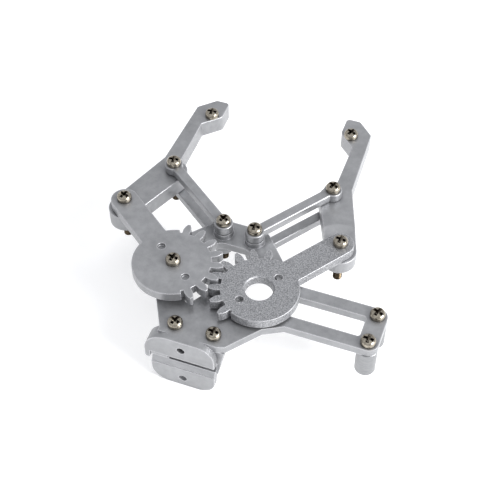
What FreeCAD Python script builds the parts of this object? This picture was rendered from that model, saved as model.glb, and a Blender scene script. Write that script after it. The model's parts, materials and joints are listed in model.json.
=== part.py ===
import FreeCAD, Part
import math
import os
import re

import Sketcher

# Two-finger gripper of a desktop robot arm: a servo turns the drive gear, the driven gear
# mirrors it, and two parallelogram linkages keep the fingers parallel as they open and close.
#
# Own frame: origin at the centre of the wrist face, +Y towards the fingertips, +Z up (gear side),
# +X towards the servo side. The palm datum is the palm's top face midway between the gear axes.
# Drawn part open. Gear angles are counter-clockwise from +X. Millimetres and degrees.

DIMENSIONS = {
    # palm datum, measured from the centre of the wrist face
    "palm_x": 2.1, "palm_y": 23.4, "palm_z": 11.0,
    # linkage
    "gear_offset": 13.5, "crank_length": 30.0, "link_pivot_x": 5.06, "link_pivot_y": 19.8,
    "drive_arm_angle": 54.7, "driven_arm_angle": 142.75,
    # gears
    "gear_thickness": 3.2, "drive_gear_z": 0.8, "driven_gear_z": 2.1,
    "pitch_radius": 13.5, "tip_radius": 15.0, "root_radius": 11.4,
    "drive_rim_radius": 12.0, "driven_rim_radius": 12.4, "pressure_angle": 20.0,
    "tooth_step": 20.0, "tooth_thickness": 2.2, "tooth_count": 8,
    "drive_first_tooth": 97.0, "driven_first_tooth": -47.0,
    "arm_width": 8.4, "arm_end_radius": 4.2,
    "hub_hole_radius": 4.2, "hub_chamfer": 0.4, "horn_hole_circle": 7.0, "horn_hole_radius": 1.2,
    "dimple_depth": 1.0,
    # M3 pan-head screws with a cross recess, and the holes they pass through
    "screw_hole_radius": 1.5, "shank_radius": 1.45, "head_radius": 2.3, "head_height": 2.2,
    "head_rounding": 1.0, "recess_length": 3.0, "recess_width": 0.7, "recess_depth": 0.9,
    "pivot_screw_length": 16.0, "short_screw_length": 6.0, "seat_gap": 0.05,
    # driven gear's bush and the boss under it
    "bush_radius": 2.2, "bush_hole_radius": 2.25, "boss_radius": 5.5, "boss_height": 2.0,
    # links
    "upper_link_z": 2.0, "upper_link_thickness": 2.9, "lower_link_z": -7.0,
    "lower_link_thickness": 2.8, "link_width": 3.2, "link_end_radius": 2.9,
    # palm plate
    "plate_thickness": 2.8, "front_y": 24.8, "front_corner_x": 7.5, "front_rounding": 5.0,
    "shoulder_x": 22.1, "left_lobe_x": -21.0, "left_lobe_top_y": 9.2, "left_lobe_low_y": 1.0,
    "lobe_rounding": 6.0, "neck_half_width": 9.9, "neck_end_y": -21.3, "neck_corner_y": -19.9,
    "neck_right_x": 10.4, "neck_right_y": -20.5, "flare_x": 18.2, "flare_y": -10.9,
    "frame_start_x": 24.0,
    "post_radius": 3.1, "post_height": 1.95, "post_drop": 1.3,
    "window_left_x": -6.4, "window_right_x": 6.0, "window_low_y": -9.2, "window_top_y": 15.8,
    "window_low_x": -4.9, "window_bend_x": 0.4, "window_bend_y": -0.6, "window_side_y": 3.0,
    "window_rounding": 3.0, "window_low_rounding": 0.6, "servo_opening_radius": 8.0,
    # servo frame
    "frame_half_width": 7.8, "slot_half_width": 3.7, "slot_end_x": 45.3, "frame_end_x": 51.3,
    "frame_rounding": 3.0, "slot_rounding": 0.8, "frame_screw_x": 48.2, "frame_screw_y": 5.0,
    "standoff_radius": 3.1, "standoff_length": 9.5, "standoff_hole_depth": 4.5,
    "servo_hole_radius": 1.25,
    # the palm's lip over the wrist, in the frame of the wrist face
    "lip_left_x": -11.6, "wrist_right_x": 10.15, "lip_bottom_z": 2.5, "lip_thickness": 2.4,
    "lip_left_rounding": 7.5, "lip_flank_depth": 4.6, "wrist_rounding": 5.5,
    "lip_bead_radius": 0.85, "lip_bead_z": 0.15, "wrist_hole_spread": 7.0, "wrist_hole_radius": 1.25,
    # wrist flange under the lip, in the frame of the wrist face
    "flange_left_x": -9.8, "flange_low_z": -10.5, "face_thickness": 1.8, "band_top_z": 2.4,
    "band_low_z": -2.4, "band_depth": 1.1, "slit_left_x": -4.5, "slit_low_z": -0.4,
    "slit_depth": 2.2, "band_low_depth": 0.2, "step_front_y": 0.25, "step_low_z": 1.0,
    "gusset_low_z": -3.0, "gusset_foot": 0.2, "side_low_z": -4.8,
    "side_top_y": 5.2, "side_width": 2.0, "web_back_y": 4.0, "tab_left_x": -7.2,
    "tab_back_y": 9.0, "tab_thickness": 2.5, "tapped_depth": 5.0,
    "wrist_screw_x": 5.9, "wrist_screw_y": -17.6, "joint_gap": 0.05,
    # fingers: x inwards and y forwards from the link pivot
    "finger_top": 1.9, "finger_bottom": -4.0, "crank_end_radius": 5.2, "root_inner": 4.2,
    "knuckle_radius": 4.2, "blade_outer_x": -5.2, "blade_inner_x": 0.3, "elbow_y": 4.5,
    "blade_top_x": -4.1, "blade_top_y": 30.6, "tip_left_x": 1.1, "tip_y": 35.7, "tip_right_x": 5.7,
    "hook_y": 28.4, "hook_root_y": 23.2, "tip_rounding": 1.2, "hook_rounding": 2.2,
    "tip_screw_x": 2.17, "tip_screw_y": 28.05, "tip_screw_length": 6.6,
    "relief_radius": 6.3, "relief_outer_radius": 9.6, "relief_z": 0.7,
}

# height of the tab's top face, just under the palm plate, above the centre of the wrist face
UNDER_PALM = "(palm_z - plate_thickness - joint_gap)"

doc = FreeCAD.newDocument("gripper")
sheet = doc.addObject("Spreadsheet::Sheet", "Dims")
nodes = []


def fill_sheet():
    """One row per dimension: its name, and its value under the same alias."""
    for row, (name, number) in enumerate(DIMENSIONS.items(), start=1):
        sheet.set(f"A{row}", name)
        sheet.set(f"B{row}", str(number))
        sheet.setAlias(f"B{row}", name)
    doc.recompute()


def on_sheet(text):
    """A formula of dimension names, such as 'gear_offset - 2', as an expression on the sheet."""
    return re.sub(r"[a-z]\w*",
                  lambda word: "Dims." + word.group() if word.group() in DIMENSIONS else word.group(),
                  str(text))


def size(text):
    """The present value of a formula of dimension names."""
    return float(sheet.evalExpression(on_sheet(text)))


def bind(item, **formulas):
    """Bind properties of an object to formulas of the sheet."""
    for name, formula in formulas.items():
        item.setExpression(name, on_sheet(formula))
    return item


def put(item, x=0, y=0, z=0, turn=None):
    """Place an object by formulas, and turn it about the vertical if asked."""
    places = {"Placement.Base.x": x, "Placement.Base.y": y, "Placement.Base.z": z}
    if turn is not None:
        places["Placement.Rotation.Angle"] = turn
    for name, formula in places.items():
        item.setExpression(name, on_sheet(formula))
    return item


def cylinder(name, radius, height, x=0, y=0, z=0):
    item = doc.addObject("Part::Cylinder", name)
    bind(item, Radius=radius, Height=height)
    return put(item, x, y, z)


def lying_cylinder(name, radius, height, x=0, y=0, z=0):
    """A round whose axis runs along +Y."""
    item = doc.addObject("Part::Cylinder", name)
    item.Placement = FreeCAD.Placement(FreeCAD.Vector(), FreeCAD.Rotation(FreeCAD.Vector(1, 0, 0), -90))
    bind(item, Radius=radius, Height=height)
    return put(item, x, y, z)


def box(name, length, width, height, x=0, y=0, z=0):
    item = doc.addObject("Part::Box", name)
    bind(item, Length=length, Width=width, Height=height)
    return put(item, x, y, z)


def fuse(name, parts):
    item = doc.addObject("Part::MultiFuse", name)
    item.Shapes = parts
    item.Refine = True
    return item


def cut(name, base, tools):
    item = doc.addObject("Part::Cut", name)
    item.Base = base
    item.Tool = tools[0] if len(tools) == 1 else fuse(name + "_tools", tools)
    return item


def group(name, parts):
    item = doc.addObject("Part::Compound", name)
    item.Links = parts
    return item


def node(item, name, x=0, y=0, z=0, turn=None):
    """Finish a sub-part: its name, and its place from the palm datum."""
    item.Label = name
    put(item, f"palm_x + {x}", f"palm_y + {y}", f"palm_z + {z}", turn)
    nodes.append(item)
    return item


# ---- sketched plates -------------------------------------------------------------------------

def new_sketch(body, name, z):
    """A sketch parallel to the body's own XY plane, at the height z."""
    plane = next(item for item in body.Origin.OriginFeatures if item.Role == "XY_Plane")
    sketch = body.newObject("Sketcher::SketchObject", name)
    sketch.AttachmentSupport = [(plane, "")]
    sketch.MapMode = "FlatFace"
    sketch.setExpression("AttachmentOffset.Base.z", on_sheet(z))
    return sketch


def pin_point(sketch, geometry, position, x, y):
    """Hold one point of a sketch at the formulas x and y."""
    for axis, line, formula in (("DistanceX", -2, x), ("DistanceY", -1, y)):
        if str(formula) == "0":
            sketch.addConstraint(Sketcher.Constraint("PointOnObject", geometry, position, line))
        else:
            index = sketch.addConstraint(
                Sketcher.Constraint(axis, -1, 1, geometry, position, size(formula)))
            sketch.setExpression(f"Constraints[{index}]", on_sheet(formula))


def draw_polygon(sketch, corners):
    points = [FreeCAD.Vector(size(x), size(y), 0) for x, y in corners]
    count = len(points)
    for index in range(count):
        sketch.addGeometry(Part.LineSegment(points[index], points[(index + 1) % count]), False)
    for index in range(count):
        sketch.addConstraint(Sketcher.Constraint("Coincident", index, 2, (index + 1) % count, 1))
    for index, (x, y) in enumerate(corners):
        pin_point(sketch, index, 1, x, y)


def draw_circle(sketch, x, y, radius):
    centre = FreeCAD.Vector(size(x), size(y), 0)
    circle = sketch.addGeometry(Part.Circle(centre, FreeCAD.Vector(0, 0, 1), size(radius)), False)
    index = sketch.addConstraint(Sketcher.Constraint("Radius", circle, size(radius)))
    sketch.setExpression(f"Constraints[{index}]", on_sheet(radius))
    pin_point(sketch, circle, 3, x, y)


def pad(body, name, z, thickness, corners=(), circle=None):
    """Material from z upwards, from one closed outline or one circle."""
    sketch = new_sketch(body, name + "_sketch", z)
    if circle:
        draw_circle(sketch, *circle)
    else:
        draw_polygon(sketch, corners)
    feature = body.newObject("PartDesign::Pad", name)
    feature.Profile = sketch
    bind(feature, Length=thickness)
    doc.recompute()
    return feature


def pocket(body, name, z, depth, corners=(), circles=()):
    """An opening from z downwards. It stops part.py if nothing is removed."""
    volume = body.Shape.Volume
    sketch = new_sketch(body, name + "_sketch", z)
    if corners:
        draw_polygon(sketch, corners)
    for circle in circles:
        draw_circle(sketch, *circle)
    feature = body.newObject("PartDesign::Pocket", name)
    feature.Profile = sketch
    bind(feature, Length=depth)
    doc.recompute()
    if body.Shape.Volume > volume - 1e-3:
        raise RuntimeError(name + " removes nothing")
    return feature


def round_corners(body, name, corners, radius):
    """Fillet the upright edges that stand at the given corners."""
    base = body.Tip
    spots = [FreeCAD.Vector(size(x), size(y), 0) for x, y in corners]
    edges = []
    for index, edge in enumerate(base.Shape.Edges, start=1):
        low, high = edge.Vertexes[0].Point, edge.Vertexes[-1].Point
        upright = math.hypot(high.x - low.x, high.y - low.y) < 1e-4 and abs(high.z - low.z) > 0.1
        if upright and any(math.hypot(low.x - spot.x, low.y - spot.y) < 1e-3 for spot in spots):
            edges.append(f"Edge{index}")
    feature = body.newObject("PartDesign::Fillet", name)
    feature.Base = (base, edges)
    bind(feature, Radius=radius)
    doc.recompute()
    return feature


def new_body(name):
    return doc.addObject("PartDesign::Body", name)


# ---- castings --------------------------------------------------------------------------------

def palm_frame():
    """The palm plate with the servo frame, two link posts and the driven gear's boss."""
    body = new_body("palm")
    bottom = "-plate_thickness"
    front = [("front_corner_x", "front_y"), ("-front_corner_x", "front_y")]
    lobe = [("left_lobe_x", "left_lobe_top_y"), ("left_lobe_x", "left_lobe_low_y")]
    frame_end = [("frame_end_x", "-frame_half_width"), ("frame_end_x", "frame_half_width")]
    outline = front + lobe + [
        ("-neck_half_width", "neck_corner_y"), ("-neck_half_width", "neck_end_y"),
        ("wrist_right_x - palm_x", "neck_end_y"), ("neck_right_x", "neck_right_y"),
        ("flare_x", "flare_y"), ("frame_start_x", "-frame_half_width"),
    ] + frame_end + [("shoulder_x", "frame_half_width")]
    pad(body, "plate", bottom, "plate_thickness", outline)
    round_corners(body, "front_corners", front, "front_rounding")
    round_corners(body, "lobe_corners", lobe, "lobe_rounding")
    round_corners(body, "frame_corners", frame_end, "frame_rounding")

    window = [("window_left_x", "window_low_y"), ("window_low_x", "window_low_y"),
              ("window_bend_x", "window_bend_y"), ("window_right_x", "window_side_y"),
              ("window_right_x", "window_top_y"), ("window_left_x", "window_top_y")]
    pocket(body, "window", 0, "plate_thickness", window)
    round_corners(body, "window_low_corners", window[:2], "window_low_rounding")
    round_corners(body, "window_top_corners", window[4:], "window_rounding")
    slot = [("gear_offset", "-slot_half_width"), ("slot_end_x", "-slot_half_width"),
            ("slot_end_x", "slot_half_width"), ("gear_offset", "slot_half_width")]
    pocket(body, "slot", 0, "plate_thickness", slot)
    round_corners(body, "slot_corners", slot[1:3], "slot_rounding")
    pocket(body, "servo_opening", 0, "plate_thickness",
           circles=[("gear_offset", 0, "servo_opening_radius")])

    for side, sign in (("left", "-"), ("right", "")):
        pad(body, side + "_post", "-plate_thickness - post_drop",
            "plate_thickness + post_drop + post_height",
            circle=(sign + "link_pivot_x", "link_pivot_y", "post_radius"))
    pad(body, "gear_boss", bottom, "plate_thickness + boss_height",
        circle=("-gear_offset", 0, "boss_radius"))

    hole = "screw_hole_radius"
    pocket(body, "screw_holes", "post_height + 1", "plate_thickness + post_drop + post_height + 2",
           circles=[("-link_pivot_x", "link_pivot_y", hole), ("link_pivot_x", "link_pivot_y", hole),
                    ("-gear_offset", 0, hole),
                    ("-wrist_screw_x", "wrist_screw_y", hole), ("wrist_screw_x", "wrist_screw_y", hole),
                    ("frame_screw_x", "-frame_screw_y", hole), ("frame_screw_x", "frame_screw_y", hole)])
    node(fuse("palm_casting", [body] + wrist_lip()), "palm_frame")


def wrist_lip():
    """The palm's front lip, drawn from the palm datum: a rounded plate with a bead at its left end."""
    left, front = "lip_left_x - palm_x", "-palm_y"
    right, bottom = "wrist_right_x - palm_x", "lip_bottom_z - palm_z"

    def rounded_plate(name, depth):
        plate = box(name + "_plate", "wrist_right_x - lip_left_x", depth, "palm_z - lip_bottom_z",
                    left, front, bottom)
        return round_face_corners(name + "_rounded", plate, [
            (left, 0, "lip_left_rounding"), (right, 0, "wrist_rounding")])

    rounded = rounded_plate("lip", "lip_thickness")
    thicker = rounded_plate("flank", "lip_flank_depth")
    side = box("flank_side", f"0.5 - neck_half_width - ({left})", "lip_flank_depth",
               "palm_z - lip_bottom_z", left, front, bottom)
    flank = doc.addObject("Part::MultiCommon", "lip_flank")
    flank.Shapes = [thicker, side]
    hole = lying_cylinder("lip_hole", "wrist_hole_radius", "lip_thickness", "-palm_x", front,
                          "wrist_hole_spread - palm_z")
    end = box("lip_end", "2 * lip_bead_radius", "lip_thickness", "lip_bottom_z - lip_bead_z + 1",
              left, front, "lip_bead_z - palm_z")
    bead = lying_cylinder("lip_bead", "lip_bead_radius", "lip_thickness", left + " + lip_bead_radius",
                          front, "lip_bead_z - palm_z")
    return [cut("lip", rounded, [hole]), flank, end, bead]


def round_face_corners(name, plate, corners):
    """Round edges that run along Y. corners holds x, z and a radius for each."""
    doc.recompute()
    item = doc.addObject("Part::Fillet", name)
    item.Base = plate
    chosen = []
    for index, edge in enumerate(plate.Shape.Edges, start=1):
        middle = edge.CenterOfMass
        if abs(edge.tangentAt(edge.FirstParameter).y) < 0.9:
            continue
        for x, z, radius in corners:
            if math.hypot(middle.x - size(x), middle.z - size(z)) < 1e-3:
                chosen.append((index, size(radius), size(radius)))
    if len(chosen) != len(corners):
        raise RuntimeError(name + " doesn't find its corners")
    item.Edges = chosen
    return item


def link(name, label, z, thickness, x, turn):
    """A dog-bone link from the palm pivot, at its origin, to the finger pivot."""
    body = new_body(name)
    half = "link_width / 2"
    pad(body, name + "_bar", 0, thickness,
        [(0, "-" + half), ("crank_length", "-" + half), ("crank_length", half), (0, half)])
    ends = [0, "crank_length"]
    for index, end in enumerate(ends):
        pad(body, f"{name}_end_{index}", 0, thickness, circle=(end, 0, "link_end_radius"))
    pocket(body, name + "_holes", thickness, thickness,
           circles=[(end, 0, "screw_hole_radius") for end in ends])
    node(body, label, x, "link_pivot_y", z, turn)


def finger(side, sign, pivot_x, pivot_y):
    """A finger: root plate from crank pivot to link pivot, blade and hooked tip.

    sign is the direction of 'inwards' along X: 1 on the left finger and -1 on the right.
    """
    body = new_body(side + "_jaw")
    bottom, height = "finger_bottom", "finger_top - finger_bottom"
    span = "sqrt(link_pivot_y ^ 2 + (gear_offset - link_pivot_x) ^ 2)"
    along_x = f"((gear_offset - link_pivot_x) / {span})"
    along_y = f"(link_pivot_y / {span})"

    def at(x, y):
        return (f"{sign} * ({x})", y)

    def beside_root(end, offset):
        """A point level with one end of the root line, offset inwards from that line."""
        back = "0" if end == "link" else span
        return at(f"{offset} * {along_y} - {back} * {along_x}",
                  f"-({offset}) * {along_x} - {back} * {along_y}")

    tip = [at("tip_right_x", "tip_y"), at("tip_left_x", "tip_y"), at("blade_top_x", "blade_top_y")]
    hook = at("tip_right_x", "hook_y")
    blade = [at("blade_inner_x", 0), at("blade_inner_x", "hook_root_y"), hook] + tip + [
        at("blade_outer_x", "elbow_y"), at("blade_outer_x", 0)]
    pad(body, side + "_blade", bottom, height, blade)
    round_corners(body, side + "_tip_corners", tip, "tip_rounding")
    round_corners(body, side + "_hook_corner", [hook], "hook_rounding")
    root = [beside_root("crank", "root_inner"), beside_root("link", "root_inner"),
            at("blade_outer_x", "elbow_y"), beside_root("crank", "-crank_end_radius")]
    pad(body, side + "_root", bottom, height, root)
    crank_pivot = at("link_pivot_x - gear_offset", "-link_pivot_y")
    pad(body, side + "_crank_end", bottom, height, circle=crank_pivot + ("crank_end_radius",))
    pad(body, side + "_knuckle", bottom, height, circle=(0, 0, "knuckle_radius"))
    hole = "screw_hole_radius"
    pocket(body, side + "_holes", "finger_top", height,
           circles=[crank_pivot + (hole,), (0, 0, hole), at("tip_screw_x", "tip_screw_y") + (hole,)])
    if side == "left":
        node(body, side + "_finger", pivot_x, pivot_y)
        return
    relief = doc.addObject("Part::Cone", side + "_relief")
    bind(relief, Radius1="relief_radius", Radius2="relief_outer_radius", Height="finger_top - relief_z")
    put(relief, *crank_pivot, "relief_z")
    node(cut(side + "_jaw_relieved", body, [relief]), side + "_finger", pivot_x, pivot_y)


def polar(radius, degrees):
    angle = math.radians(degrees)
    return FreeCAD.Vector(radius * math.cos(angle), radius * math.sin(angle), 0)


def half_tooth_angle(radius):
    """Half the angle that an involute tooth spans at a radius."""
    base = size("pitch_radius") * math.cos(math.radians(size("pressure_angle")))

    def involute(distance):
        slope = math.acos(min(1.0, base / max(distance, base)))
        return math.tan(slope) - slope

    half = size("tooth_thickness / 2 / pitch_radius")
    return math.degrees(half + involute(size("pitch_radius")) - involute(radius))


def toothed_disc(name, rim_radius, first_tooth, arm_angle):
    """The gear blank: involute teeth over one sector and a smooth rim over the rest."""
    root, tip, rim = size("root_radius"), size("tip_radius"), size(rim_radius)
    middle = (size("pitch_radius") + tip) / 2
    low = size("pitch_radius * cos(pressure_angle)")
    step, count = size("tooth_step"), int(size("tooth_count"))
    edges = []

    def arc(*points):
        edges.append(Part.Arc(*points).toShape())

    def line(start, end):
        edges.append(Part.LineSegment(start, end).toShape())

    start_angle = size(f"{first_tooth} - {arm_angle}")
    for tooth in range(count):
        centre = start_angle + tooth * step
        foot, crest = half_tooth_angle(low), half_tooth_angle(tip)
        shoulder = half_tooth_angle(middle)
        line(polar(root, centre - foot), polar(low, centre - foot))
        arc(polar(low, centre - foot), polar(middle, centre - shoulder), polar(tip, centre - crest))
        arc(polar(tip, centre - crest), polar(tip, centre), polar(tip, centre + crest))
        arc(polar(tip, centre + crest), polar(middle, centre + shoulder), polar(low, centre + foot))
        line(polar(low, centre + foot), polar(root, centre + foot))
        if tooth < count - 1:
            arc(polar(root, centre + foot), polar(root, centre + step / 2),
                polar(root, centre + step - foot))
    last = start_angle + (count - 1) * step
    rim_start, rim_end = last + step / 2, start_angle - step / 2 + 360
    arc(polar(root, last + foot), polar(root, (last + foot + rim_start) / 2), polar(root, rim_start))
    line(polar(root, rim_start), polar(rim, rim_start))
    arc(polar(rim, rim_start), polar(rim, (rim_start + rim_end) / 2), polar(rim, rim_end))
    line(polar(rim, rim_end), polar(root, rim_end))
    first_foot = start_angle - foot + 360
    arc(polar(root, rim_end), polar(root, (rim_end + first_foot) / 2), polar(root, first_foot))
    face = Part.Face(Part.Wire(edges))
    item = doc.addObject("Part::Feature", name)
    item.Shape = face.extrude(FreeCAD.Vector(0, 0, size("gear_thickness")))
    return item


def crank_gear(name, label, rim_radius, first_tooth, arm_angle, hub_radius, x, z):
    """A gear with its crank arm along its own +X, and the horn screw holes in line with the arm.

    The driven gear has no horn: its two holes are left as dimples.
    """
    thickness = "gear_thickness"
    blank = fuse(name + "_blank", [
        toothed_disc(name + "_disc", rim_radius, first_tooth, arm_angle),
        box(name + "_arm", "crank_length", "arm_width", thickness, 0, "-arm_width / 2"),
        cylinder(name + "_arm_end", "arm_end_radius", thickness, "crank_length")])
    holes = [cylinder(name + "_hub", hub_radius, thickness),
             cylinder(name + "_pivot_hole", "screw_hole_radius", thickness, "crank_length")]
    takes_horn = hub_radius == "hub_hole_radius"
    floor = 0 if takes_horn else "gear_thickness - dimple_depth"
    for end, place in (("out", "horn_hole_circle"), ("in", "-horn_hole_circle")):
        holes.append(cylinder(f"{name}_horn_hole_{end}", "horn_hole_radius", thickness, place, 0, floor))
    if takes_horn:
        chamfer = doc.addObject("Part::Cone", name + "_hub_chamfer")
        bind(chamfer, Radius1=hub_radius, Radius2=hub_radius + " + hub_chamfer", Height="hub_chamfer")
        holes.append(put(chamfer, 0, 0, "gear_thickness - hub_chamfer"))
    node(cut(name, blank, holes), label, x, 0, z, arm_angle)


def wrist_flange():
    """Bracket under the palm's lip: lower face plate, tapered sides and a tab that takes two screws."""
    profile = [
        (0, "flange_low_z"), ("face_thickness", "flange_low_z"), ("face_thickness", "side_low_z"),
        ("side_top_y", "under_palm - tab_thickness"), ("tab_back_y", "under_palm - tab_thickness"),
        ("tab_back_y", "under_palm"), ("lip_thickness + joint_gap", "under_palm"),
        ("lip_thickness + joint_gap", "band_top_z"), ("slit_depth", "band_top_z"),
        ("slit_depth", "slit_low_z"), ("band_depth", "slit_low_z"),
        ("band_low_depth", "band_low_z"), (0, "band_low_z")]
    body = new_body("flange")
    upright = FreeCAD.Rotation(FreeCAD.Vector(1, 1, 1), 120)
    body.Placement = FreeCAD.Placement(FreeCAD.Vector(), upright)
    pad(body, "flange_profile", "flange_left_x", "wrist_right_x - flange_left_x",
        [(y, str(z).replace("under_palm", UNDER_PALM)) for y, z in profile])
    rounded = round_face_corners("flange_rounded", body, [
        ("flange_left_x", "flange_low_z", "wrist_rounding"),
        ("wrist_right_x", "flange_low_z", "wrist_rounding")])
    step = box("flange_step", "slit_left_x - flange_left_x", "slit_depth - step_front_y + 0.5",
               "band_top_z - step_low_z", "flange_left_x", "step_front_y", "step_low_z")
    fill = box("flange_fill", "slit_left_x - flange_left_x", "slit_depth - band_depth + 0.5",
               "band_top_z - slit_low_z + 0.5", "flange_left_x", "band_depth", "slit_low_z - 0.5")
    tab_floor = f"{UNDER_PALM} - tab_thickness"
    hollow = box("flange_hollow", "wrist_right_x - flange_left_x - 2 * side_width", "tab_back_y",
                 f"{tab_floor} - flange_low_z", "flange_left_x + side_width", "web_back_y",
                 "flange_low_z")
    tab_side = box("flange_tab_side", "tab_left_x - flange_left_x + 1", "tab_back_y",
                   "2 * tab_thickness", "flange_left_x - 1", "side_top_y", tab_floor)
    corner = box("flange_corner", "palm_x - neck_half_width + 0.55 - flange_left_x + 1", "tab_back_y",
                 "palm_z", "flange_left_x - 1", "lip_thickness", "band_top_z")
    tools = [hollow, tab_side, corner]
    for name, z in (("upper", "wrist_hole_spread"), ("lower", "-wrist_hole_spread")):
        tools.append(lying_cylinder(f"flange_{name}_hole", "wrist_hole_radius", "tapped_depth", 0, 0, z))
    for name, sign in (("left", "-"), ("right", "")):
        tools.append(cylinder(f"flange_{name}_tap", "screw_hole_radius", "2 * tab_thickness",
                              f"palm_x + {sign}wrist_screw_x", "palm_y + wrist_screw_y",
                              f"{UNDER_PALM} - 1.5 * tab_thickness"))
    item = cut("flange_casting", fuse("flange_blank", [rounded, step, fill, wrist_gusset()]), tools)
    item.Label = "wrist_flange"
    nodes.append(item)


def wrist_gusset():
    """The flange's right side spreads upwards and backwards, to meet the corner of the palm's neck."""
    item = doc.addObject("Part::Wedge", "flange_gusset")
    item.Placement = FreeCAD.Placement(FreeCAD.Vector(), FreeCAD.Rotation(FreeCAD.Vector(1, 0, 0), 90))
    bind(item, Ymin="gusset_low_z", Ymax=UNDER_PALM, Xmin="wrist_right_x - side_width",
         X2min="wrist_right_x - side_width", Xmax="wrist_right_x + gusset_foot",
         X2max="palm_x + neck_right_x", Zmax="-lip_thickness - joint_gap",
         Z2max="-lip_thickness - joint_gap", Zmin="-lip_thickness - joint_gap - gusset_foot",
         Z2min="-side_top_y")
    return item


# ---- turned pieces and fasteners -------------------------------------------------------------

def screw(name, length, x=0, y=0, z=0):
    """A pan-head screw, head seat at its origin."""
    head = cylinder(name + "_head", "head_radius", "head_height")
    doc.recompute()
    rounded = doc.addObject("Part::Fillet", name + "_rounded")
    rounded.Base = head
    radius = size("head_rounding")
    rounded.Edges = [(index, radius, radius) for index, edge in enumerate(head.Shape.Edges, start=1)
                     if edge.CenterOfMass.z > size("head_height") - 1e-3]
    shank = cylinder(name + "_shank", "shank_radius", length, 0, 0, f"-({length})")
    floor = "head_height - recess_depth"
    slots = [box(name + "_slot_x", "recess_length", "recess_width", "recess_depth",
                 "-recess_length / 2", "-recess_width / 2", floor),
             box(name + "_slot_y", "recess_width", "recess_length", "recess_depth",
                 "-recess_width / 2", "-recess_length / 2", floor)]
    return put(cut(name, fuse(name + "_blank", [rounded, shank]), slots), x, y, z)


def screw_node(label, length, x, y, z):
    node(screw(label + "_solid", length), label, x, y, z)


def screw_pair(label, length, places):
    node(group(label + "_pair", [screw(f"{label}_{index}", length, x, y)
                                 for index, (x, y) in enumerate(places)]), label)


def sleeve(name, radius, hole_radius, height, x=0, y=0, z=0):
    outer = cylinder(name + "_outer", radius, height)
    inner = cylinder(name + "_inner", hole_radius, height)
    return put(cut(name, outer, [inner]), x, y, z)


def standoff(name, x, y):
    """A round post under the servo frame, with a blind hole in each end."""
    post = cylinder(name + "_post", "standoff_radius", "standoff_length")
    upper = cylinder(name + "_upper_hole", "screw_hole_radius", "standoff_hole_depth", 0, 0,
                     "standoff_length - standoff_hole_depth")
    lower = cylinder(name + "_lower_hole", "servo_hole_radius", "standoff_hole_depth")
    return put(cut(name, post, [upper, lower]), x, y, "-plate_thickness - standoff_length")


def build():
    fill_sheet()
    palm_frame()
    wrist_flange()
    crank_gear("drive", "drive_gear", "drive_rim_radius", "drive_first_tooth", "drive_arm_angle",
               "hub_hole_radius", "gear_offset", "drive_gear_z")
    crank_gear("driven", "driven_gear", "driven_rim_radius", "driven_first_tooth",
               "driven_arm_angle", "bush_hole_radius", "(-gear_offset)", "driven_gear_z")
    bush_height = "driven_gear_z + gear_thickness + seat_gap - boss_height"
    node(sleeve("bush", "bush_radius", "screw_hole_radius", bush_height),
         "driven_gear_bush", "(-gear_offset)", 0, "boss_height")
    screw_node("driven_gear_screw", "short_screw_length + boss_height", "(-gear_offset)", 0,
               "driven_gear_z + gear_thickness + seat_gap")

    pairs = (("left", 1, "(-link_pivot_x)", "(-gear_offset)", "driven_arm_angle", "driven_gear_z"),
             ("right", -1, "link_pivot_x", "gear_offset", "drive_arm_angle", "drive_gear_z"))
    for side, inwards, link_x, gear_x, angle, gear_z in pairs:
        reach_x, reach_y = f"crank_length * cos({angle})", f"crank_length * sin({angle})"
        knuckle = (f"{link_x} + {reach_x}", f"link_pivot_y + {reach_y}")
        crank_end = (f"{gear_x} + {reach_x}", reach_y)
        link(side + "_upper", side + "_upper_link", "upper_link_z", "upper_link_thickness",
             link_x, angle)
        link(side + "_lower", side + "_lower_link", "lower_link_z", "lower_link_thickness",
             link_x, angle)
        finger(side, inwards, *knuckle)
        link_top = "upper_link_z + upper_link_thickness"
        screw_node(side + "_palm_link_screw", "pivot_screw_length", link_x, "link_pivot_y", link_top)
        screw_node(side + "_finger_link_screw", "pivot_screw_length", *knuckle, link_top)
        screw_node(side + "_crank_screw", "pivot_screw_length", *crank_end,
                   f"{gear_z} + gear_thickness + seat_gap")
        screw_node(side + "_tip_screw", "tip_screw_length",
                   f"{knuckle[0]} + {inwards} * tip_screw_x", f"{knuckle[1]} + tip_screw_y",
                   "finger_top")

    screw_pair("wrist_screws", "short_screw_length",
               [("-wrist_screw_x", "wrist_screw_y"), ("wrist_screw_x", "wrist_screw_y")])
    frame_places = [("frame_screw_x", "-frame_screw_y"), ("frame_screw_x", "frame_screw_y")]
    screw_pair("servo_frame_screws", "short_screw_length", frame_places)
    posts = [standoff(f"standoff_{index}", x, y) for index, (x, y) in enumerate(frame_places)]
    node(group("standoffs", posts), "servo_standoffs")
    doc.recompute()


def check_document():
    """Stop if any object failed, or if a sub-part is empty or not valid."""
    for item in doc.Objects:
        if "Invalid" in item.State or "Error" in item.State:
            raise RuntimeError(f"{item.Name} failed: {item.State}")
    for item in nodes:
        if item.Shape.isNull() or not item.Shape.isValid():
            raise RuntimeError(f"{item.Label} has no valid shape")


def export():
    os.makedirs("parts", exist_ok=True)
    for item in nodes:
        item.Shape.exportStep(f"parts/{item.Label}.step")
        print(item.Label, len(item.Shape.Solids), round(item.Shape.Volume, 1))


build()
check_document()
export()
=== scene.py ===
import json
import math
import random

import bmesh
import bpy
from mathutils import Matrix, Vector


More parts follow.
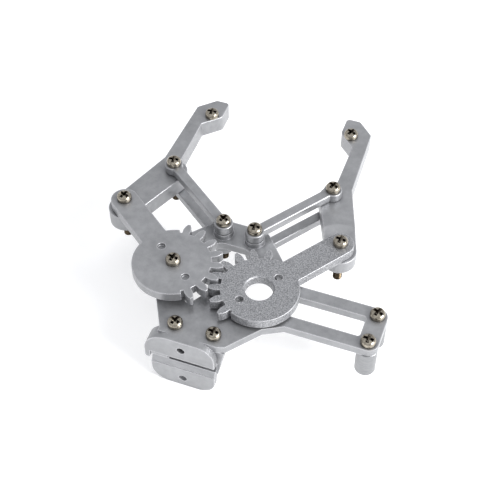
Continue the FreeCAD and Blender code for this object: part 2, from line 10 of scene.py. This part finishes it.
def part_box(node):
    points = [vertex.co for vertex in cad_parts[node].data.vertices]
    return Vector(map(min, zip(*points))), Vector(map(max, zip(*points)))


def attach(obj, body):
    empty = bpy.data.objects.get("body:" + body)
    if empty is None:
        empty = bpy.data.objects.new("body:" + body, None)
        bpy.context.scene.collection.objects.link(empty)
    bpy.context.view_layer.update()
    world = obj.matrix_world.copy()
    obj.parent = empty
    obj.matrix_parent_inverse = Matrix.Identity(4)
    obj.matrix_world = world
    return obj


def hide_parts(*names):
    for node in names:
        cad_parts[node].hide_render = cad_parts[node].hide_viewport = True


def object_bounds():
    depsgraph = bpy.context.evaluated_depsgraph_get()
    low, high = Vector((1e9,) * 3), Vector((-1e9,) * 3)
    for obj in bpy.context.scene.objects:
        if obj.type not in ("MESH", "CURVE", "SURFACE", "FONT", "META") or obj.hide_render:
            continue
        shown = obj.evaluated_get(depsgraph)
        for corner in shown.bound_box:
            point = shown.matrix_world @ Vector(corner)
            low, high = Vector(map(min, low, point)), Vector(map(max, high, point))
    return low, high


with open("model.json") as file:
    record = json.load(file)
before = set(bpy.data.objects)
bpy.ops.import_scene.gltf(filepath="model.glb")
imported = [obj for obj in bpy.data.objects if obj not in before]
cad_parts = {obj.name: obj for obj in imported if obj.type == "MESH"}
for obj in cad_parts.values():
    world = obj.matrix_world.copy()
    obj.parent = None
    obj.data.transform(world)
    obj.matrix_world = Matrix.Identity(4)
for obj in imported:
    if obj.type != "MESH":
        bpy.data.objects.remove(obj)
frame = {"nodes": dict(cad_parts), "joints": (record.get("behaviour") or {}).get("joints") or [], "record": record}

CAD_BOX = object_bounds()
MM = 0.001
PIVOTS = {joint["name"]: Vector(joint["pos_m"]) for joint in frame["joints"]}
BODIES = frame["record"]["behaviour"]["bodies"]
BODY_OF = {node: body for body, nodes in BODIES.items() for node in nodes}

# pan-head screw, the size of its CAD node
HEAD_RADIUS = 2.3 * MM
HEAD_HEIGHT = 2.2 * MM
HEAD_RIM = 0.8 * MM
HEAD_CORNER = 1.0 * MM
HEAD_CROWN = 0.2 * MM
HEAD_SEAT_CORNER = 0.12 * MM
SHANK_RADIUS = 1.45 * MM
THREAD_DEPTH = 0.24 * MM
THREAD_PITCH = 0.5 * MM
THREAD_STEPS = 6
ROUND_STEPS = 40
RECESS_REACH = 1.75 * MM
RECESS_WIDTH = 0.9 * MM
RECESS_DEPTH = 1.5 * MM
DRIVER_TURN = math.radians(25)

# castings: the size of a rounded edge, and the bends that count as an edge
CAST_ROUNDING = 0.55 * MM
SOFT_BEND = math.radians(12)
SHARP_ANGLE = math.radians(33)
RECESS_SHARP_ANGLE = math.radians(38)

WHITE = (1.0, 1.0, 1.0)
# colour of the painted highlight along the rounded edges
EDGE_HIGHLIGHT = (0.62, 0.62, 0.64)
PAINTED_METAL = 0.72
FLOOR_REACH = 3.0
FLOOR_GAP = 0.05 * MM

# camera and its aim, from the point midway between the gear axes
CAMERA_AZIMUTH = 19.85
CAMERA_ELEVATION = 49.92
CAMERA_DISTANCE = 325.93 * MM
CAMERA_LENS = 77.94
AIM_OFFSET = (5.85 * MM, 13.39 * MM)
AIM_HEIGHT = 14.25 * MM

random.seed(7)


# ---- materials -------------------------------------------------------------------------------

def start_material(name):
    """A new material, its node tree, its shader, and the piece's own coordinates."""
    material = bpy.data.materials.new(name)
    material.use_nodes = True
    tree = material.node_tree
    shader = tree.nodes["Principled BSDF"]
    place = tree.nodes.new("ShaderNodeTexCoord").outputs["Object"]
    return material, tree, shader, place


def noise(tree, place, scale, detail=3.0, roughness=0.5):
    """Noise from 0 to 1: the larger the scale, the finer the grain."""
    node = tree.nodes.new("ShaderNodeTexNoise")
    node.inputs["Scale"].default_value = scale
    node.inputs["Detail"].default_value = detail
    node.inputs["Roughness"].default_value = roughness
    tree.links.new(place, node.inputs["Vector"])
    return node.outputs["Fac"]


def ramp(tree, value, stops):
    """A colour ramp: stops are (position, colour or grey)."""
    node = tree.nodes.new("ShaderNodeValToRGB")
    elements = node.color_ramp.elements
    while len(elements) < len(stops):
        elements.new(0.5)
    for element, (position, colour) in zip(elements, stops):
        element.position = position
        grey = isinstance(colour, (int, float))
        element.color = (colour, colour, colour, 1) if grey else (*colour, 1)
    tree.links.new(value, node.inputs["Fac"])
    return node.outputs["Color"]


def scaled(tree, value, low, high):
    """A 0 to 1 value spread over low to high."""
    node = tree.nodes.new("ShaderNodeMapRange")
    node.inputs["To Min"].default_value = low
    node.inputs["To Max"].default_value = high
    tree.links.new(value, node.inputs["Value"])
    return node.outputs["Result"]


def blend(tree, mode, factor, first, second):
    """Mix two colours. factor, first and second are sockets or plain values."""
    node = tree.nodes.new("ShaderNodeMix")
    node.data_type = "RGBA"
    node.blend_type = mode
    sockets = (node.inputs[0], node.inputs[6], node.inputs[7])
    for socket, value in zip(sockets, (factor, first, second)):
        if isinstance(value, bpy.types.NodeSocket):
            tree.links.new(value, socket)
        else:
            socket.default_value = value if isinstance(value, float) else (*value, 1)
    return node.outputs[2]


def bumps(tree, shader, layers):
    """Stack bump layers, each (height, distance in metres, strength)."""
    normal = None
    for height, distance, strength in layers:
        node = tree.nodes.new("ShaderNodeBump")
        node.inputs["Strength"].default_value = strength
        node.inputs["Distance"].default_value = distance
        tree.links.new(height, node.inputs["Height"])
        if normal is not None:
            tree.links.new(normal, node.inputs["Normal"])
        normal = node.outputs["Normal"]
    tree.links.new(normal, shader.inputs["Normal"])


def edge_highlight_mask(tree, radius):
    """1 near sharp edges, 0 on open faces: the mask of the painted edge highlight."""
    bevel = tree.nodes.new("ShaderNodeBevel")
    bevel.samples = 4
    bevel.inputs["Radius"].default_value = radius
    plain = tree.nodes.new("ShaderNodeNewGeometry")
    dot = tree.nodes.new("ShaderNodeVectorMath")
    dot.operation = "DOT_PRODUCT"
    tree.links.new(bevel.outputs["Normal"], dot.inputs[0])
    tree.links.new(plain.outputs["Normal"], dot.inputs[1])
    return ramp(tree, dot.outputs["Value"], [(0.84, 1.0), (0.99, 0.0)])


def painted_shade_in_hollows(tree, distance, darkest):
    """Painted shade: the colour darkens where a surface is closed in, where shade falls."""
    shade = tree.nodes.new("ShaderNodeAmbientOcclusion")
    shade.samples = 6
    shade.inputs["Distance"].default_value = distance
    return ramp(tree, shade.outputs["AO"], [(0.35, darkest), (0.95, WHITE)])


def cast_aluminium():
    """Blasted and silver painted casting: fine grain, faint swells, a painted highlight along the edges and
    painted shade in the hollows.
    """
    material, tree, shader, place = start_material("cast_aluminium")
    grain = noise(tree, place, 3600, 4, 0.65)
    mottle = noise(tree, place, 420, 4, 0.6)
    swell = noise(tree, place, 75, 2, 0.5)
    tone = ramp(tree, mottle, [(0.3, (0.325, 0.329, 0.34)), (0.7, (0.40, 0.404, 0.415))])
    tone = blend(tree, "MULTIPLY", 0.35, tone, ramp(tree, grain, [(0.35, 0.78), (0.65, 1.0)]))
    tone = blend(tree, "MULTIPLY", 0.6, tone, ramp(tree, swell, [(0.35, 0.78), (0.65, 1.0)]))
    # painted shade: darker where the surface is closed in, in hollows and between parts
    recess_shade = painted_shade_in_hollows(tree, 1.5 * MM, (0.72, 0.72, 0.73))
    tone = blend(tree, "MULTIPLY", 1.0, tone, recess_shade)
    # painted highlight: the edges are lightened towards a fixed bright grey
    edge_lit_tone = blend(tree, "MIX", edge_highlight_mask(tree, 0.6 * MM), tone, EDGE_HIGHLIGHT)
    tree.links.new(edge_lit_tone, shader.inputs["Base Color"])
    tree.links.new(scaled(tree, mottle, 0.30, 0.44), shader.inputs["Roughness"])
    shader.inputs["Metallic"].default_value = PAINTED_METAL
    bumps(tree, shader, [(swell, 0.4 * MM, 0.5), (mottle, 0.05 * MM, 0.3),
                         (grain, 0.02 * MM, 0.5)])
    return material


def sand_cast_aluminium():
    """Coarse sand-cast skin of the drive gear, with dark pits and bright grains."""
    material, tree, shader, place = start_material("sand_cast_aluminium")
    grain = noise(tree, place, 2600, 5, 0.7)
    pits = noise(tree, place, 1300, 3, 0.6)
    swell = noise(tree, place, 90, 2, 0.5)
    tone = ramp(tree, grain, [(0.32, (0.17, 0.174, 0.185)), (0.5, (0.31, 0.314, 0.326)),
                              (0.68, (0.56, 0.564, 0.575))])
    tone = blend(tree, "MULTIPLY", 0.5, tone, ramp(tree, pits, [(0.36, 0.55), (0.55, 1.0)]))
    # painted highlight: the edges are lightened towards a fixed bright grey
    edge_lit_tone = blend(tree, "MIX", edge_highlight_mask(tree, 0.5 * MM), tone, EDGE_HIGHLIGHT)
    tree.links.new(edge_lit_tone, shader.inputs["Base Color"])
    tree.links.new(scaled(tree, pits, 0.38, 0.56), shader.inputs["Roughness"])
    shader.inputs["Metallic"].default_value = PAINTED_METAL
    bumps(tree, shader, [(swell, 0.2 * MM, 0.3), (pits, 0.12 * MM, 0.55),
                         (grain, 0.08 * MM, 0.8)])
    return material


def turned_aluminium():
    """Lathe-turned posts: fine rings round the axis."""
    material, tree, shader, place = start_material("turned_aluminium")
    stretch = tree.nodes.new("ShaderNodeMapping")
    stretch.inputs["Scale"].default_value = (0.06, 0.06, 1.0)
    tree.links.new(place, stretch.inputs["Vector"])
    rings = noise(tree, stretch.outputs["Vector"], 9000, 2, 0.6)
    mottle = noise(tree, place, 700, 3, 0.6)
    tone = ramp(tree, rings, [(0.3, (0.25, 0.254, 0.262)), (0.7, (0.36, 0.364, 0.372))])
    tone = blend(tree, "MULTIPLY", 0.3, tone, ramp(tree, mottle, [(0.3, 0.75), (0.7, 1.0)]))
    tree.links.new(tone, shader.inputs["Base Color"])
    tree.links.new(scaled(tree, mottle, 0.28, 0.42), shader.inputs["Roughness"])
    shader.inputs["Metallic"].default_value = 1.0
    bumps(tree, shader, [(rings, 0.02 * MM, 0.5)])
    return material


def nickel_screw():
    """Nickel plating with a warm cast, painted shade in the recess, and darker towards the tip of the thread."""
    material, tree, shader, place = start_material("nickel_screw")
    mottle = noise(tree, place, 1500, 3, 0.6)
    tone = ramp(tree, mottle, [(0.35, (0.25, 0.222, 0.178)), (0.65, (0.44, 0.402, 0.335))])
    # painted shade: the cross recess and other hollows are darkened almost to black
    recess_shade = painted_shade_in_hollows(tree, 1.2 * MM, (0.07, 0.055, 0.035))
    tone = blend(tree, "MULTIPLY", 1.0, tone, recess_shade)
    height = tree.nodes.new("ShaderNodeSeparateXYZ")
    tree.links.new(place, height.inputs["Vector"])
    # the colour darkens towards the tip of the thread, below the head's seat
    toward_tip = tree.nodes.new("ShaderNodeMapRange")
    toward_tip.inputs["From Min"].default_value = -9 * MM
    toward_tip.inputs["From Max"].default_value = -5 * MM
    tree.links.new(height.outputs["Z"], toward_tip.inputs["Value"])
    thread = ramp(tree, toward_tip.outputs["Result"], [(0.0, (0.32, 0.27, 0.21)), (1.0, WHITE)])
    tone = blend(tree, "MULTIPLY", 1.0, tone, thread)
    tree.links.new(tone, shader.inputs["Base Color"])
    tree.links.new(scaled(tree, mottle, 0.12, 0.24), shader.inputs["Roughness"])
    shader.inputs["Metallic"].default_value = 1.0
    bumps(tree, shader, [(mottle, 0.01 * MM, 0.4)])
    return material


def pale_floor():
    """Matt studio paper, lit from within a little so that it stays pale in the shadows."""
    material, tree, shader, place = start_material("studio_paper")
    tone = ramp(tree, noise(tree, place, 30, 3), [(0.3, 0.86), (0.7, 0.88)])
    tree.links.new(tone, shader.inputs["Base Color"])
    shader.inputs["Roughness"].default_value = 0.9
    shader.inputs["Emission Color"].default_value = (1, 1, 1, 1)
    shader.inputs["Emission Strength"].default_value = 0.28
    return material


# ---- pieces ----------------------------------------------------------------------------------

def finish_piece(piece, node, material):
    """Give a new piece its material and body, and let it stand for its CAD node."""
    piece.data.materials.clear()
    piece.data.materials.append(material)
    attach(piece, BODY_OF[node])
    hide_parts(node)


def new_object(name, data):
    """A new object in the scene: a piece, a lamp or the camera."""
    item = bpy.data.objects.new(name, data)
    bpy.context.scene.collection.objects.link(item)
    return item


def mesh_from(shape, name):
    """A mesh made from a bmesh, which is freed."""
    mesh = bpy.data.meshes.new(name)
    shape.to_mesh(mesh)
    shape.free()
    return mesh


def even_shading(piece):
    """Smooth faces whose normals follow the large flats, so that only the roundings bend light."""
    for polygon in piece.data.polygons:
        polygon.use_smooth = True
    shading = piece.modifiers.new("even_shading", "WEIGHTED_NORMAL")
    shading.mode = "FACE_AREA"
    shading.weight = 80


def reach_of(shape):
    """Lowest and highest coordinates of a shape."""
    return [[pick(vert.co[axis] for vert in shape.verts) for axis in range(3)]
            for pick in (min, max)]


def is_corner(edge):
    """True for an edge to round: a sharp one, or a slighter bend at the rim of a level face."""
    if len(edge.link_faces) != 2:
        return False
    level = max(abs(face.normal.z) for face in edge.link_faces) > 0.999
    return edge.calc_face_angle() > (SOFT_BEND if level else SHARP_ANGLE)


def casting(node, slot, material, rounding=CAST_ROUNDING, segments=3):
    """The CAD node with every sharp edge rounded as a casting's edges are."""
    shape = bmesh.new()
    shape.from_mesh(frame["nodes"][node].data)
    bmesh.ops.remove_doubles(shape, verts=shape.verts, dist=0.002 * MM)
    bmesh.ops.dissolve_limit(shape, angle_limit=math.radians(0.8), verts=shape.verts,
                             edges=shape.edges)
    low, high = reach_of(shape)
    sharp = [edge for edge in shape.edges if is_corner(edge)]
    bmesh.ops.bevel(shape, geom=sharp, offset=rounding, offset_type="OFFSET", segments=segments,
                    profile=0.5, affect="EDGES", clamp_overlap=True)
    for vert in shape.verts:
        vert.co = [min(max(vert.co[axis], low[axis]), high[axis]) for axis in range(3)]
    name = node + "_rounded"
    piece = new_object(name, mesh_from(shape, name))
    even_shading(piece)
    finish_piece(piece, node, material)


def screw_rings(length):
    """Radius and height of each ring of a screw from its tip to the crown of its head.

    The third value says how much the thread's groove counts at that ring.
    """
    rings = [(0.72 * SHANK_RADIUS, -length, 0.0)]
    step = THREAD_PITCH / THREAD_STEPS
    count = int((length - 0.4 * MM) / step)
    for index in range(count + 1):
        height = -length + 0.25 * MM + index * step
        fade = min(1.0, index / 4, (count - index) / 6)
        rings.append((SHANK_RADIUS, height, fade))
    rings += [(SHANK_RADIUS, 0.0, 0.0), (HEAD_RADIUS - HEAD_SEAT_CORNER, 0.0, 0.0),
              (HEAD_RADIUS, HEAD_SEAT_CORNER, 0.0), (HEAD_RADIUS, HEAD_RIM, 0.0)]
    shoulder = HEAD_HEIGHT - HEAD_CROWN
    for step in range(1, 8):
        turn = step / 8 * math.pi / 2
        rings.append((HEAD_RADIUS - HEAD_CORNER * (1 - math.cos(turn)),
                      shoulder - (shoulder - HEAD_RIM) * (1 - math.sin(turn)), 0.0))
    inner = HEAD_RADIUS - HEAD_CORNER
    for share in (1.0, 0.7, 0.4, 0.15):
        rings.append((inner * share, HEAD_HEIGHT - HEAD_CROWN * share ** 2, 0.0))
    return rings


def screw_mesh(name, length):
    """A threaded pan-head screw with its seat at the origin, before its recess is cut."""
    shape = bmesh.new()
    rows = []
    for radius, height, fade in screw_rings(length):
        row = []
        for step in range(ROUND_STEPS):
            angle = 2 * math.pi * step / ROUND_STEPS
            phase = (height / THREAD_PITCH - step / ROUND_STEPS) % 1.0
            groove = fade * THREAD_DEPTH * abs(2 * phase - 1)
            row.append(shape.verts.new(((radius - groove) * math.cos(angle),
                                        (radius - groove) * math.sin(angle), height)))
        rows.append(row)
    for low, high in zip(rows, rows[1:]):
        for step in range(ROUND_STEPS):
            after = (step + 1) % ROUND_STEPS
            shape.faces.new((low[step], low[after], high[after], high[step]))
    shape.faces.new(tuple(reversed(rows[0])))
    shape.faces.new(tuple(rows[-1]))
    return mesh_from(shape, name)


def recess_wing(name, turn):
    """One tapered bar of the cross recess."""
    shape = bmesh.new()
    half_width = RECESS_WIDTH / 2
    sections = (
        (HEAD_HEIGHT + 0.3 * MM, RECESS_REACH + 0.12 * MM, half_width + 0.06 * MM),
        (HEAD_HEIGHT - RECESS_DEPTH * 0.72, RECESS_REACH * 0.62, half_width - 0.05 * MM),
        (HEAD_HEIGHT - RECESS_DEPTH, RECESS_REACH * 0.25, half_width - 0.16 * MM))
    rows = [[shape.verts.new((x, y, height)) for x, y in
             ((-reach, -half), (reach, -half), (reach, half), (-reach, half))]
            for height, reach, half in sections]
    shape.faces.new(rows[0])
    shape.faces.new(tuple(reversed(rows[-1])))
    for high, low in zip(rows, rows[1:]):
        for step in range(4):
            after = (step + 1) % 4
            shape.faces.new((high[after], high[step], low[step], low[after]))
    bmesh.ops.rotate(shape, cent=(0, 0, 0), matrix=Matrix.Rotation(turn, 3, "Z"),
                     verts=shape.verts)
    return new_object(name, mesh_from(shape, name))


def cut_recess(mesh):
    """Cut the cross recess into a screw mesh and return the finished mesh."""
    blank = new_object(mesh.name + "_blank", mesh)
    wings = [recess_wing(f"{mesh.name}_wing_{index}", index * math.pi / 2) for index in range(2)]
    for wing in wings:
        cutter = blank.modifiers.new(wing.name, "BOOLEAN")
        cutter.operation = "DIFFERENCE"
        cutter.solver = "EXACT"
        cutter.object = wing
    bpy.context.view_layer.update()
    solved = blank.evaluated_get(bpy.context.evaluated_depsgraph_get())
    result = bpy.data.meshes.new_from_object(solved)
    result.name = mesh.name + "_cut"
    for scrap in [blank] + wings:
        bpy.data.objects.remove(scrap)
    result.shade_smooth()
    result.set_sharp_from_angle(angle=RECESS_SHARP_ANGLE)
    return result


def screw_places(node):
    """Centres of the screws in a node, at the height of their head seats."""
    low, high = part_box(node)
    middle = (low + high) / 2
    seat = high.z - HEAD_HEIGHT
    if high.x - low.x > 3 * HEAD_RADIUS:
        return [(low.x + HEAD_RADIUS, middle.y, seat), (high.x - HEAD_RADIUS, middle.y, seat)]
    if high.y - low.y > 3 * HEAD_RADIUS:
        return [(middle.x, low.y + HEAD_RADIUS, seat), (middle.x, high.y - HEAD_RADIUS, seat)]
    return [(middle.x, middle.y, seat)]


def is_screw(node):
    return "screw" in node


def screws(material):
    """Every screw, each turned as its driver left it, sharing one mesh for each length."""
    meshes = {}
    for node in filter(is_screw, sorted(frame["nodes"])):
        low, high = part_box(node)
        length = high.z - low.z - HEAD_HEIGHT
        key = round(length / MM, 1)
        if key not in meshes:
            meshes[key] = cut_recess(screw_mesh(f"screw_{key:g}mm", length))
        places = screw_places(node)
        for index, place in enumerate(places):
            name = node + "_threaded" + (f"_{index + 1}" if len(places) > 1 else "")
            piece = new_object(name, meshes[key])
            piece.location = place
            piece.rotation_euler = (0, 0, random.uniform(-DRIVER_TURN, DRIVER_TURN))
            finish_piece(piece, node, material)


# ---- studio ----------------------------------------------------------------------------------

def studio_floor(material):
    """A wide level sheet just under the lowest point of the object."""
    shape = bmesh.new()
    level = CAD_BOX[0].z - FLOOR_GAP
    corners = [shape.verts.new((x * FLOOR_REACH, y * FLOOR_REACH, level))
               for x, y in ((-1, -1), (1, -1), (1, 1), (-1, 1))]
    shape.faces.new(corners)
    floor = new_object("studio_floor", mesh_from(shape, "studio_floor"))
    floor.data.materials.append(material)


def direction(azimuth, elevation):
    """From the object towards a viewer, in degrees: azimuth 0 stands at -Y, and 90 at +X."""
    turn, rise = math.radians(azimuth), math.radians(elevation)
    level = math.cos(rise)
    return Vector((math.sin(turn) * level, -math.cos(turn) * level, math.sin(rise)))


def aim_at(item, target, azimuth, elevation, distance):
    """Stand a lamp or the camera off from the target, looking back at it."""
    back = direction(azimuth, elevation)
    item.location = target + back * distance
    item.rotation_mode = "QUATERNION"
    item.rotation_quaternion = back.to_track_quat("Z", "Y")


def soft_box(name, azimuth, elevation, distance, size, power):
    """A square soft light aimed at the middle of the object."""
    data = bpy.data.lights.new(name, "AREA")
    data.shape = "SQUARE"
    data.size = size
    data.energy = power
    middle = (CAD_BOX[0] + CAD_BOX[1]) / 2
    aim_at(new_object(name, data), middle, azimuth, elevation, distance)


def studio_lights():
    """A strong soft key from the right, faint fill from the front and top, and a pale surround."""
    soft_box("key_light", 82, 27, 0.9, 0.6, 12.5)
    soft_box("front_light", -15, 25, 1.0, 0.7, 0.15)
    soft_box("top_light", 20, 82, 0.9, 0.9, 0.6)
    world = bpy.data.worlds.new("studio")
    bpy.context.scene.world = world
    world.use_nodes = True
    surround = world.node_tree.nodes["Background"]
    surround.inputs["Color"].default_value = (0.96, 0.97, 1.0, 1)
    surround.inputs["Strength"].default_value = 0.79


def photographer():
    """The camera, aimed near the point midway between the gear axes."""
    middle = (PIVOTS["drive_gear_turn"] + PIVOTS["driven_gear_turn"]) / 2
    aim = Vector((middle.x + AIM_OFFSET[0], middle.y + AIM_OFFSET[1], AIM_HEIGHT))
    data = bpy.data.cameras.new("camera")
    data.sensor_width = 36
    data.lens = CAMERA_LENS
    data.clip_start = 0.01
    camera = new_object("camera", data)
    aim_at(camera, aim, CAMERA_AZIMUTH, CAMERA_ELEVATION, CAMERA_DISTANCE)
    bpy.context.scene.camera = camera


def castings(cast, sand, turned):
    """Every piece that is not a screw: those listed here differ from the plain casting."""
    special = {
        "drive_gear": ("sand_cast_aluminium", sand),
        "driven_gear": ("cast_aluminium", cast, 0.5 * MM),
        "servo_standoffs": ("turned_aluminium", turned, 0.25 * MM),
        "driven_gear_bush": ("steel_bush", turned, 0.15 * MM, 2)}
    for node in sorted(frame["nodes"]):
        if not is_screw(node):
            casting(node, *special.get(node, ("cast_aluminium", cast)))


def build():
    """Materials, pieces, floor, lights and camera."""
    cast, sand, turned, nickel = (
        cast_aluminium(), sand_cast_aluminium(), turned_aluminium(), nickel_screw())
    castings(cast, sand, turned)
    screws(nickel)
    studio_floor(pale_floor())
    studio_lights()
    photographer()
    bpy.context.scene.view_settings.view_transform = "Standard"


build()
